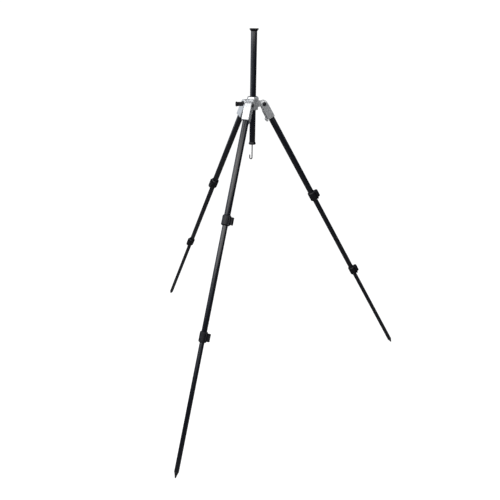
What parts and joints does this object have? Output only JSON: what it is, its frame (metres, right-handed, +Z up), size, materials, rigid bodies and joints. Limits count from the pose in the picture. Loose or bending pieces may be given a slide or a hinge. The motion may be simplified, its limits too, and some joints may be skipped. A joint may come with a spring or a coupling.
{
  "type": "tripod stand for a surveying pole or prism",
  "caption": "Three-legged stand with telescoping flip-lock legs, a cast silver shoulder, a sliding and turning centre column with a flat top, and a hook below.",
  "frame": {"origin": "centre of the flat face on top of the centre column's cap", "axes": "+Z up along the centre column; -Y towards the front leg; the other legs at 30 and 150 degrees from +X"},
  "size_m": [1.354, 1.1744, 1.522],
  "materials": {
    "black_anodised": "satin black anodised tube",
    "black_plastic": "fine-grained moulded nylon",
    "cast_silver": "bright die-cast with silver lacquer",
    "steel": "dark zinc-plated wire and pins",
    "dark_steel": "blackened bolt",
    "guide_plastic": "dark grey acetal",
    "foot_rubber": "matt black hard rubber"
  },
  "bodies": {
    "root": {"shoulder_casting": "cast_silver"},
    "collar_bush": {"collar_bush": "guide_plastic"},
    "column": {"column_tube": "black_anodised", "top_cap": "black_plastic", "bottom_cap": "black_plastic"},
    "hook": {"hook": "steel", "hook_nut": "steel"},
    "clamp_feed": {"clamp_pad": "guide_plastic"},
    "clamp_knob": {"clamp_knob": "black_plastic", "clamp_screw": "steel"},
    "front_leg": {"front_leg_casting": "cast_silver", "front_pivot_bolt": "dark_steel", "front_release_pin": "steel", "front_upper_tube": "black_anodised", "front_upper_clamp": "black_plastic", "front_upper_lever_pin": "steel"},
    "front_release": {"front_release_lever": "cast_silver"},
    "front_upper_lever": {"front_upper_lever": "black_plastic"},
    "front_middle": {"front_middle_tube": "black_anodised", "front_middle_bush": "guide_plastic", "front_lower_clamp": "black_plastic", "front_lower_lever_pin": "steel"},
    "front_lower_lever": {"front_lower_lever": "black_plastic"},
    "front_lower": {"front_lower_tube": "black_anodised", "front_lower_bush": "guide_plastic", "front_foot": "foot_rubber"},
    "right_leg": {"right_leg_casting": "cast_silver", "right_pivot_bolt": "dark_steel", "right_release_pin": "steel", "right_upper_tube": "black_anodised", "right_upper_clamp": "black_plastic", "right_upper_lever_pin": "steel"},
    "right_release": {"right_release_lever": "cast_silver"},
    "right_upper_lever": {"right_upper_lever": "black_plastic"},
    "right_middle": {"right_middle_tube": "black_anodised", "right_middle_bush": "guide_plastic", "right_lower_clamp": "black_plastic", "right_lower_lever_pin": "steel"},
    "right_lower_lever": {"right_lower_lever": "black_plastic"},
    "right_lower": {"right_lower_tube": "black_anodised", "right_lower_bush": "guide_plastic", "right_foot": "foot_rubber"},
    "left_leg": {"left_leg_casting": "cast_silver", "left_pivot_bolt": "dark_steel", "left_release_pin": "steel", "left_upper_tube": "black_anodised", "left_upper_clamp": "black_plastic", "left_upper_lever_pin": "steel"},
    "left_release": {"left_release_lever": "cast_silver"},
    "left_upper_lever": {"left_upper_lever": "black_plastic"},
    "left_middle": {"left_middle_tube": "black_anodised", "left_middle_bush": "guide_plastic", "left_lower_clamp": "black_plastic", "left_lower_lever_pin": "steel"},
    "left_lower_lever": {"left_lower_lever": "black_plastic"},
    "left_lower": {"left_lower_tube": "black_anodised", "left_lower_bush": "guide_plastic", "left_foot": "foot_rubber"}
  },
  "joints": [
    {"name": "column_turn", "type": "hinge", "parent": "root", "child": "collar_bush", "pos_m": [0, 0, -0.272], "axis": [0, 0, 1], "continuous": true},
    {"name": "column_slide", "type": "slide", "parent": "collar_bush", "child": "column", "axis": [0, 0, 1], "range_m": [-0.23, 0.12]},
    {"name": "hook_turn", "type": "hinge", "parent": "column", "child": "hook", "pos_m": [0, 0, -0.433], "axis": [0, 0, 1], "continuous": true},
    {"name": "clamp_feed_slide", "type": "slide", "parent": "root", "child": "clamp_feed", "axis": [-0.866, -0.5, 0], "range_m": [0, 0.0015]},
    {"name": "knob_turn", "type": "hinge", "parent": "clamp_feed", "child": "clamp_knob", "pos_m": [0, 0, -0.272], "axis": [-0.866, -0.5, 0], "range_deg": [0, 540]},
    {"name": "front_leg_hinge", "type": "hinge", "parent": "root", "child": "front_leg", "pos_m": [0, -0.044, -0.272], "axis": [-1, 0, 0], "range_deg": [-30.5, 0]},
    {"name": "front_release_pull", "type": "hinge", "parent": "front_leg", "child": "front_release", "pos_m": [0, -0.04041, -0.29152], "axis": [1, 0, 0], "range_deg": [0, 4], "stiffness_Nm_per_rad": 0.2, "springref_deg": -11.46},
    {"name": "front_middle_slide", "type": "slide", "parent": "front_leg", "child": "front_middle", "axis": [0, 0.5075, 0.8616], "range_m": [0, 0.355]},
    {"name": "front_lower_slide", "type": "slide", "parent": "front_middle", "child": "front_lower", "axis": [0, 0.5075, 0.8616], "range_m": [0, 0.43]},
    {"name": "front_upper_lever_flip", "type": "hinge", "parent": "front_leg", "child": "front_upper_lever", "pos_m": [0.0173, -0.28729, -0.66372], "axis": [0, -0.5075, -0.8616], "range_deg": [0, 100]},
    {"name": "front_lower_lever_flip", "type": "hinge", "parent": "front_middle", "child": "front_lower_lever", "pos_m": [0.01594, -0.51698, -1.05533], "axis": [0, -0.5075, -0.8616], "range_deg": [0, 100]},
    {"name": "right_leg_hinge", "type": "hinge", "parent": "root", "child": "right_leg", "pos_m": [0.03811, 0.022, -0.272], "axis": [0.5, -0.866, 0], "range_deg": [-30.5, 0]},
    {"name": "right_release_pull", "type": "hinge", "parent": "right_leg", "child": "right_release", "pos_m": [0.035, 0.02021, -0.29152], "axis": [-0.5, 0.866, 0], "range_deg": [0, 4], "stiffness_Nm_per_rad": 0.2, "springref_deg": -11.46},
    {"name": "right_middle_slide", "type": "slide", "parent": "right_leg", "child": "right_middle", "axis": [-0.4395, -0.2538, 0.8616], "range_m": [0, 0.355]},
    {"name": "right_lower_slide", "type": "slide", "parent": "right_middle", "child": "right_lower", "axis": [-0.4395, -0.2538, 0.8616], "range_m": [0, 0.43]},
    {"name": "right_upper_lever_flip", "type": "hinge", "parent": "right_leg", "child": "right_upper_lever", "pos_m": [0.25887, 0.1337, -0.66152], "axis": [0.4395, 0.2538, -0.8616], "range_deg": [0, 100]},
    {"name": "right_lower_lever_flip", "type": "hinge", "parent": "right_middle", "child": "right_lower_lever", "pos_m": [0.457, 0.24932, -1.0533], "axis": [0.4395, 0.2538, -0.8616], "range_deg": [0, 100]},
    {"name": "left_leg_hinge", "type": "hinge", "parent": "root", "child": "left_leg", "pos_m": [-0.03811, 0.022, -0.272], "axis": [0.5, 0.866, 0], "range_deg": [-30.5, 0]},
    {"name": "left_release_pull", "type": "hinge", "parent": "left_leg", "child": "left_release", "pos_m": [-0.035, 0.02021, -0.29152], "axis": [-0.5, -0.866, 0], "range_deg": [0, 4], "stiffness_Nm_per_rad": 0.2, "springref_deg": -11.46},
    {"name": "left_middle_slide", "type": "slide", "parent": "left_leg", "child": "left_middle", "axis": [0.4395, -0.2538, 0.8616], "range_m": [0, 0.355]},
    {"name": "left_lower_slide", "type": "slide", "parent": "left_middle", "child": "left_lower", "axis": [0.4395, -0.2538, 0.8616], "range_m": [0, 0.43]},
    {"name": "left_upper_lever_flip", "type": "hinge", "parent": "left_leg", "child": "left_upper_lever", "pos_m": [-0.25745, 0.12866, -0.66372], "axis": [-0.4395, 0.2538, -0.8616], "range_deg": [0, 100]},
    {"name": "left_lower_lever_flip", "type": "hinge", "parent": "left_middle", "child": "left_lower_lever", "pos_m": [-0.45569, 0.24468, -1.05533], "axis": [-0.4395, 0.2538, -0.8616], "range_deg": [0, 100]}
  ],
  "couplings": [
    {"joint": "clamp_feed_slide", "follows": "knob_turn", "m_per_rad": 0.00015915}
  ]
}
